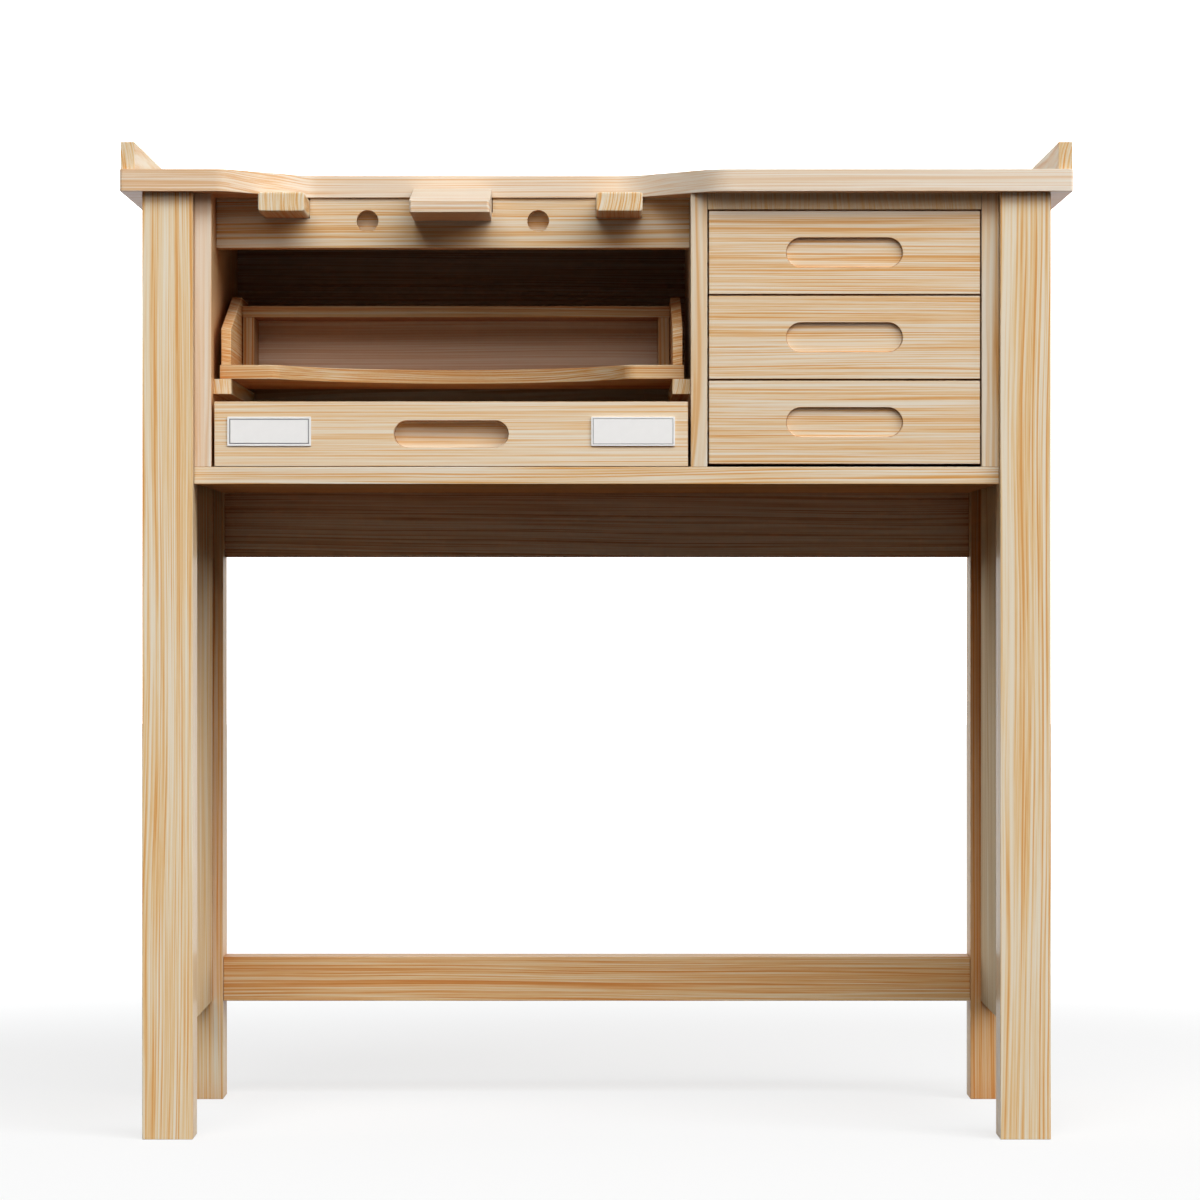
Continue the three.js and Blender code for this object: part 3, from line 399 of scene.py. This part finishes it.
def figure_group():
    """Growth rings, streaks and fibres of a board, from a place given across, across and along the grain."""
    tree = bpy.data.node_groups.new("wood_figure", "ShaderNodeTree")
    tree.interface.new_socket("Place", in_out="INPUT", socket_type="NodeSocketVector")
    tree.interface.new_socket("Ring Spacing", in_out="INPUT", socket_type="NodeSocketFloat")
    tree.interface.new_socket("Ring Strength", in_out="INPUT", socket_type="NodeSocketFloat")
    tree.interface.new_socket("Tone", in_out="OUTPUT", socket_type="NodeSocketFloat")
    tree.interface.new_socket("Fibre", in_out="OUTPUT", socket_type="NodeSocketFloat")
    given = add_node(tree, "NodeGroupInput")
    place = given.outputs["Place"]

    # The trunk isn't straight: its centre line wanders slowly, and the rings ripple
    middle = (NOISE_MIDDLE, NOISE_MIDDLE, NOISE_MIDDLE)
    moved = place
    for cells, reach in ((WANDER_CELLS, WANDER_REACH), (RIPPLE_CELLS, RIPPLE_REACH)):
        swing = combine(tree, "SUBTRACT", noise(tree, place, cells, detail=2.0, output="Color"), middle)
        moved = combine(tree, "MULTIPLY_ADD", swing, reach, moved)

    # Rings round the trunk's centre, of uneven width and strength
    parts = separate(tree, moved)
    radius = length(tree, combine(tree, "MULTIPLY", moved, (1.0, 1.0, 0.0)))
    uneven = add_node(
        tree, "ShaderNodeTexNoise",
        {"W": calculate(tree, "MULTIPLY", radius, UNEVEN_CELLS), "Scale": 1.0, "Detail": 1.0},
        noise_dimensions="1D",
    ).outputs["Fac"]
    count = calculate(tree, "DIVIDE", radius, given.outputs["Ring Spacing"])
    count = calculate(tree, "MULTIPLY_ADD", uneven, UNEVEN_RINGS, count)
    within = calculate(tree, "FRACT", count)
    strength = add_node(
        tree, "ShaderNodeTexWhiteNoise", {"W": calculate(tree, "FLOOR", count)}, noise_dimensions="1D",
    ).outputs["Value"]
    rise = ramp_between(tree, within, *LATE_WOOD_BEGINS)
    fall = ramp_between(tree, within, *LATE_WOOD_ENDS, 1.0, 0.0)
    late_wood = calculate(tree, "MULTIPLY", calculate(tree, "MULTIPLY", rise, fall), strength)

    # Streaks lie in the rings, so they run along every face that the rings run along
    round_ring = calculate(tree, "SUBTRACT", parts["X"], parts["Y"])
    in_rings = add_node(tree, "ShaderNodeCombineXYZ", {0: radius, 1: round_ring, 2: parts["Z"]}).outputs[0]
    fibres = noise(tree, moved, FIBRE_CELLS, detail=2.0)
    layers = [(noise(tree, in_rings, cells, detail=1.0), shown) for cells, shown in STREAKS]
    layers.append((fibres, FIBRE_STRENGTH))
    tone = calculate(tree, "MULTIPLY_ADD", late_wood, given.outputs["Ring Strength"], EARLY_WOOD_TONE)
    for layer, shown in layers:
        swing = calculate(tree, "SUBTRACT", layer, NOISE_MIDDLE)
        tone = calculate(tree, "MULTIPLY_ADD", swing, shown, tone)
    tone = calculate(tree, "ADD", tone, 0.0, clamp=True)
    add_node(tree, "NodeGroupOutput", {"Tone": tone, "Fibre": fibres})
    return tree


FIGURE = figure_group()


def arris_mask(tree, curved_about):
    """1 on the rounded edges of a board, 0 on its faces."""
    normal = add_node(tree, "ShaderNodeNewGeometry").outputs["Normal"]
    parts = separate(tree, combine(tree, "ABSOLUTE", normal))
    if curved_about:
        along = parts[curved_about]
        square = calculate(tree, "SUBTRACT", 1.0, calculate(tree, "MULTIPLY", along, along))
        largest = calculate(tree, "MAXIMUM", along, calculate(tree, "SQRT", square))
    else:
        largest = calculate(tree, "MAXIMUM", calculate(tree, "MAXIMUM", parts["X"], parts["Y"]), parts["Z"])
    return ramp_between(tree, largest, *ARRIS_TURN)


def facing_colour(tree, colour, axis, sign, tint):
    """A colour that takes a tint of painted shade and bounce light on faces that look along an axis, or
    against it where sign is -1.
    """
    normal = add_node(tree, "ShaderNodeNewGeometry").outputs["True Normal"]
    begins, full = FACING_TURN
    facing = ramp_between(tree, separate(tree, normal)[axis], sign * begins, sign * full)
    return combine(tree, "MULTIPLY", colour, mix_colours(tree, facing, WHITE, tint))


def painted_corner_shade_colour(tree, colour):
    """A colour with painted shade, deepened in corners and crannies where less light reaches."""
    occlusion = add_node(
        tree, "ShaderNodeAmbientOcclusion", {"Distance": PAINTED_SHADE_REACH}, samples=PAINTED_SHADE_SAMPLES,
    )
    painted_shade_share = ramp_between(tree, occlusion.outputs["AO"], *PAINTED_SHADE_OPENNESS)
    return combine(tree, "MULTIPLY", colour, mix_colours(tree, painted_shade_share, WHITE, PAINTED_CORNER_SHADE_TINT))


def grain_axis(name, low, high):
    """The axis that a board's grain runs along."""
    size = high - low
    longest = max("XYZ", key=lambda axis: size["XYZ".index(axis)])
    return GRAIN_OVERRIDES.get(name, longest)


def pith_offset(name, axis, draw):
    """Where the middle of the trunk lies, from the middle of the board."""
    distance = draw.uniform(*PITH_DISTANCE)
    angle = DIAGONAL + QUARTER_TURN * draw.randrange(4) + draw.uniform(*DIAGONAL_SWAY)
    if axis == "Y":
        angle = 2 * QUARTER_TURN * draw.randrange(2) + draw.uniform(*FLAT_SAWN_SWAY)
    elif name.endswith("_front"):
        angle = QUARTER_TURN + draw.uniform(*FLAT_SAWN_SWAY)
    distance, angle = PITH.get(name, (distance, angle))
    turn = math.radians(angle)
    return Vector((distance * math.cos(turn), distance * math.sin(turn), draw.uniform(*PLACE_IN_TRUNK)))


def board_colour(tree, name, kind, figure, parts, shade):
    """The colour of a board's figure, darker where it has a dark zone."""
    tone = calculate(tree, "SUBTRACT", figure.outputs["Tone"], MIDDLE_TONE)
    tone = calculate(tree, "MULTIPLY_ADD", tone, kind["contrast"], MIDDLE_TONE + kind["shift"])
    for zone_shift, ramps in DARK_ZONES.get(name, ()):
        zone = zone_shift
        for side, begins, ends in ramps:
            zone = calculate(tree, "MULTIPLY", ramp_between(tree, parts[side], begins, ends), zone)
        tone = calculate(tree, "ADD", tone, zone)
    shaded = [(*[shade * channel for channel in linear(stop)[:3]], 1.0) for stop in kind["stops"]]
    return colour_ramp(tree, tone, STOP_PLACES, shaded)


def wood_material(name, kind):
    """Wood for one board, cut from its own place in its own trunk."""
    low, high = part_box(name)
    axis = grain_axis(name, low, high)
    draw = random.Random(name)
    middle = (low + high) / 2
    centre = Vector(middle["XYZ".index(a)] for a in GRAIN_ORDER[axis])
    pith = centre + pith_offset(name, axis, draw)
    shade = kind["shade"] * draw.uniform(*SHADE_SPREAD)
    spacing = kind["spacing"] * draw.uniform(*SPACING_SPREAD) * MM

    material, tree, shader = new_material("wood_" + name)
    parts = separate(tree, object_place(tree))
    ordered = add_node(tree, "ShaderNodeCombineXYZ", {i: parts[a] for i, a in enumerate(GRAIN_ORDER[axis])})
    from_pith = combine(tree, "SUBTRACT", ordered.outputs[0], tuple(pith))
    rings = {"Ring Spacing": spacing, "Ring Strength": kind["rings"]}
    figure = add_node(tree, "ShaderNodeGroup", {"Place": from_pith, **rings}, node_tree=FIGURE)
    colour = board_colour(tree, name, kind, figure, parts, shade)

    fibre = figure.outputs["Fibre"]
    # Edges take a colour: pale wear that is also a painted highlight, and on drawer fronts a painted shade
    # like that in the gaps
    edge_mask = calculate(tree, "MULTIPLY", arris_mask(tree, CURVED_ABOUT.get(name)), fibre)
    edge_colour, edge_share = kind["edge"]
    edge = calculate(tree, "MULTIPLY", edge_mask, edge_share, clamp=True)
    colour = mix_colours(tree, edge, colour, linear(edge_colour))
    # Painted shade on faces that look down, and on one side of some boards a painted warm shade and bounce
    # light
    colour = facing_colour(tree, colour, "Z", -1, PAINTED_UNDERSIDE_SHADE)
    if name in PAINTED_WARM_SIDES:
        colour = facing_colour(tree, colour, *PAINTED_WARM_SIDES[name])
    # Painted shade in the corners and crannies
    if kind["sheltered"]:
        colour = painted_corner_shade_colour(tree, colour)
    tree.links.new(colour, shader.inputs["Base Color"])

    gloss = ramp_between(tree, fibre, *NOISE_SPAN, *ROUGHNESS)
    gloss = calculate(tree, "MULTIPLY_ADD", edge_mask, WORN_ROUGHNESS, gloss)
    tree.links.new(gloss, shader.inputs["Roughness"])
    height = calculate(tree, "MULTIPLY_ADD", figure.outputs["Tone"], LATE_WOOD_HEIGHT, fibre)
    relief = {"Strength": RELIEF_STRENGTH, "Distance": RELIEF_DEPTH, "Height": height}
    bump = add_node(tree, "ShaderNodeBump", relief)
    tree.links.new(bump.outputs["Normal"], shader.inputs["Normal"])
    shader.inputs["Specular IOR Level"].default_value = kind["specular"]
    shader.inputs["Coat Weight"].default_value = kind["coat"]
    shader.inputs["Coat Roughness"].default_value = COAT_ROUGHNESS
    return material


def soft_edge_group():
    """Joins the loose facets of a solid and shades its eased edges as one round."""
    tree = bpy.data.node_groups.new("soft_edges", "GeometryNodeTree")
    tree.interface.new_socket("Geometry", in_out="INPUT", socket_type="NodeSocketGeometry")
    tree.interface.new_socket("Geometry", in_out="OUTPUT", socket_type="NodeSocketGeometry")
    given = add_node(tree, "NodeGroupInput")
    bare = add_node(
        tree, "GeometryNodeRemoveAttribute", {"Geometry": given.outputs[0], "Name": "custom_normal"},
    )
    joined = add_node(
        tree, "GeometryNodeMergeByDistance", {"Geometry": bare.outputs[0], "Distance": WELD_DISTANCE},
    )
    smooth = add_node(tree, "GeometryNodeSetShadeSmooth", {"Geometry": joined.outputs[0]}, domain="FACE")
    angle = add_node(tree, "GeometryNodeInputMeshEdgeAngle").outputs["Unsigned Angle"]
    sharp = calculate(tree, "GREATER_THAN", angle, CRISP_ANGLE)
    crisp = add_node(
        tree, "GeometryNodeSetShadeSmooth",
        {"Geometry": smooth.outputs[0], "Selection": sharp, "Shade Smooth": False},
        domain="EDGE",
    )
    add_node(tree, "NodeGroupOutput", {0: crisp.outputs[0]})
    return tree


SOFT_EDGES = soft_edge_group()


def soften(piece):
    """Shades a piece's edges as eased ones, and its faces as flat ones."""
    piece.modifiers.new("soft_edges", "NODES").node_group = SOFT_EDGES
    weighted = piece.modifiers.new("even_shading", "WEIGHTED_NORMAL")
    weighted.keep_sharp = True


def dress_boards():
    """Gives every board its own wood."""
    slots = {part["node"]: part["material_slot"] for part in frame["record"]["subparts"]}
    for name, piece in frame["nodes"].items():
        kind = DRAWER_BOX if slots[name] == "box_wood" else KINDS.get(name, OUTER)
        piece.data.materials.clear()
        piece.data.materials.append(wood_material(name, kind))
        soften(piece)


def two_tone(tree, value, colours):
    """A colour that runs from one display colour to another."""
    return colour_ramp(tree, value, TWO_TONE_PLACES, [linear(colour) for colour in colours])


def plate_metal():
    """Bright aluminium, brushed along the plate."""
    material, tree, shader = new_material("plate_metal")
    brushed = noise(tree, object_place(tree), METAL_BRUSHING, detail=3.0)
    tree.links.new(two_tone(tree, brushed, METAL_COLOURS), shader.inputs["Base Color"])
    gloss = ramp_between(tree, brushed, *NOISE_SPAN, *METAL_ROUGHNESS)
    tree.links.new(gloss, shader.inputs["Roughness"])
    shader.inputs["Metallic"].default_value = METALLIC
    return material


def plate_enamel():
    """White enamel with a faint orange-peel."""
    material, tree, shader = new_material("plate_enamel")
    place = object_place(tree)
    mottle = noise(tree, place, ENAMEL_MOTTLE, detail=3.0)
    tree.links.new(two_tone(tree, mottle, ENAMEL_COLOURS), shader.inputs["Base Color"])
    gloss = ramp_between(tree, mottle, *NOISE_SPAN, *ENAMEL_ROUGHNESS)
    tree.links.new(gloss, shader.inputs["Roughness"])
    peel = noise(tree, place, ENAMEL_PEEL, detail=1.0)
    relief = {"Strength": PEEL_STRENGTH, "Distance": PEEL_DEPTH, "Height": peel}
    bump = add_node(tree, "ShaderNodeBump", relief)
    tree.links.new(bump.outputs["Normal"], shader.inputs["Normal"])
    return material


def rounded_loop(width, height, radius):
    """Points round a rectangle with round corners, from the lower left, in the plane of the plate."""
    points = []
    for corner, (sign_x, sign_z) in enumerate(((-1, -1), (1, -1), (1, 1), (-1, 1))):
        for step in range(CORNER_POINTS):
            angle = math.pi + (corner + step / (CORNER_POINTS - 1)) * math.pi / 2
            points.append((
                sign_x * (width / 2 - radius) + radius * math.cos(angle),
                sign_z * (height / 2 - radius) + radius * math.sin(angle),
            ))
    return points


def label_plate(name, place, profile, materials):
    """A thin plate lofted through nested outlines, one for each step of its profile."""
    shell = bmesh.new()
    width, height = PLATE_SIZE
    loops = []
    for set_in, proud, _ in profile:
        inset = set_in * MM
        radius = max(PLATE_CORNER - inset, SMALLEST_CORNER)
        outline = rounded_loop(width - 2 * inset, height - 2 * inset, radius)
        loops.append([shell.verts.new((x, -proud * MM, z)) for x, z in outline])
    shell.faces.new(list(reversed(loops[0])))
    count = len(loops[0])
    for (low, high), (_, _, material) in zip(zip(loops, loops[1:]), profile[1:]):
        for i in range(count):
            j = (i + 1) % count
            shell.faces.new((low[i], low[j], high[j], high[i])).material_index = material
    shell.faces.new(loops[-1]).material_index = profile[-1][2]
    bmesh.ops.recalc_face_normals(shell, faces=shell.faces)
    mesh = bpy.data.meshes.new(name)
    shell.to_mesh(mesh)
    shell.free()
    for material in materials:
        mesh.materials.append(material)
    plate = bpy.data.objects.new(name, mesh)
    plate.location = place
    bpy.context.scene.collection.objects.link(plate)
    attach(plate, "wide_drawer")


def make_label_plates():
    """Two bare plates near the ends of the wide drawer."""
    low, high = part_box("wide_drawer_front")
    middle = (low + high) / 2
    materials = (plate_metal(), plate_enamel())
    plates = (("label_plate_left", -1, BROAD_LINE), ("label_plate_right", 1, NARROW_LINE))
    for name, side, profile in plates:
        place = (middle.x + side * PLATE_OFFSET_X, low.y, middle.z + PLATE_LIFT_Z)
        label_plate(name, place, profile, materials)


def make_camera():
    """A level camera in front of the bench."""
    data = bpy.data.cameras.new("camera")
    data.lens = CAMERA_LENS_MM
    data.sensor_width = CAMERA_SENSOR_MM
    camera = bpy.data.objects.new("camera", data)
    camera.location = CAMERA_PLACE
    camera.rotation_euler = (math.pi / 2, 0, 0)
    bpy.context.scene.collection.objects.link(camera)
    bpy.context.scene.camera = camera


def reflected_ray(tree, path):
    """1 where something is seen in a gloss or through glass."""
    return calculate(tree, "MAXIMUM", path["Is Glossy Ray"], path["Is Transmission Ray"])


def make_floor():
    """A pale floor, white in the distance, that takes the bench's shadow."""
    half = FLOOR_SIZE / 2
    mesh = bpy.data.meshes.new("floor")
    corners = [(-half, -half, 0), (half, -half, 0), (half, half, 0), (-half, half, 0)]
    mesh.from_pydata(corners, [], [(0, 1, 2, 3)])
    floor = bpy.data.objects.new("floor", mesh)
    bpy.context.scene.collection.objects.link(floor)

    material, tree, shader = new_material("studio_floor")
    tree.nodes.remove(shader)
    path = add_node(tree, "ShaderNodeLightPath").outputs
    seen = calculate(tree, "MAXIMUM", path["Is Camera Ray"], reflected_ray(tree, path))
    place = object_place(tree)
    level = ramp_between(tree, length(tree, place), *FLOOR_GLOW_REACH, FLOOR_NEAR_GLOW, 1.0)
    backwards = separate(tree, place)["Y"]
    mirrored = ramp_between(tree, backwards, *FLOOR_MIRRORED, REFLECTED_FRONT, 1.0)
    dimmed = calculate(tree, "MAXIMUM", mirrored, path["Is Camera Ray"])
    glow = add_node(tree, "ShaderNodeEmission", {"Strength": calculate(tree, "MULTIPLY", level, dimmed)})
    shade = add_node(tree, "ShaderNodeBsdfDiffuse", {"Color": grey(FLOOR_SHADE)})
    shown = add_node(tree, "ShaderNodeAddShader", {0: glow.outputs[0], 1: shade.outputs[0]})
    bounce = add_node(tree, "ShaderNodeBsdfDiffuse", {"Color": grey(FLOOR_BOUNCE)})
    either = add_node(tree, "ShaderNodeMixShader", {0: seen, 1: bounce.outputs[0], 2: shown.outputs[0]})
    tree.links.new(either.outputs[0], tree.nodes["Material Output"].inputs["Surface"])
    mesh.materials.append(material)


def make_world():
    """A white backdrop behind the bench, and a dim room in front of it."""
    world = bpy.data.worlds.new("studio")
    world.use_nodes = True
    bpy.context.scene.world = world
    tree = world.node_tree
    background = tree.nodes["Background"]
    background.inputs["Color"].default_value = WHITE
    path = add_node(tree, "ShaderNodeLightPath").outputs
    reflected = reflected_ray(tree, path)
    parts = separate(tree, add_node(tree, "ShaderNodeTexCoord").outputs["Generated"])
    low = ramp_between(tree, parts["Z"], *BACKDROP_RISE, BACKDROP_LIGHT, 0.0)
    behind = ramp_between(tree, parts["Y"], *BACKDROP_WRAP)
    shining = calculate(tree, "MULTIPLY_ADD", behind, low, STUDIO_FRONT)
    mirrored = ramp_between(tree, parts["Y"], *REFLECTED_TURN, REFLECTED_FRONT, 1.0)
    either = dict(zip(NUMBER_MIX_INPUTS, (reflected, shining, mirrored)))
    level = add_node(tree, "ShaderNodeMix", either, data_type="FLOAT").outputs[NUMBER_MIX_OUTPUT]
    level = calculate(tree, "MAXIMUM", level, path["Is Camera Ray"])
    tree.links.new(level, background.inputs["Strength"])


def make_lamps():
    """Large lamps far from the bench, all turned to its middle."""
    for name, lamp in LAMPS.items():
        turn, height = math.radians(lamp["turn"]), math.radians(lamp["height"])
        towards = Vector((
            math.sin(turn) * math.cos(height), -math.cos(turn) * math.cos(height), math.sin(height),
        ))
        data = bpy.data.lights.new(name, "AREA")
        data.shape = "RECTANGLE"
        data.size, data.size_y = lamp["size"]
        data.energy = lamp["power"]
        data.color = lamp["colour"]
        light = bpy.data.objects.new(name, data)
        light.location = LAMP_TARGET + LAMP_DISTANCE * towards
        light.rotation_euler = towards.to_track_quat("Z", "Y").to_euler()
        bpy.context.scene.collection.objects.link(light)


make_camera()
make_floor()
make_world()
make_lamps()
dress_boards()
make_label_plates()

bpy.context.scene.view_settings.view_transform = "Standard"
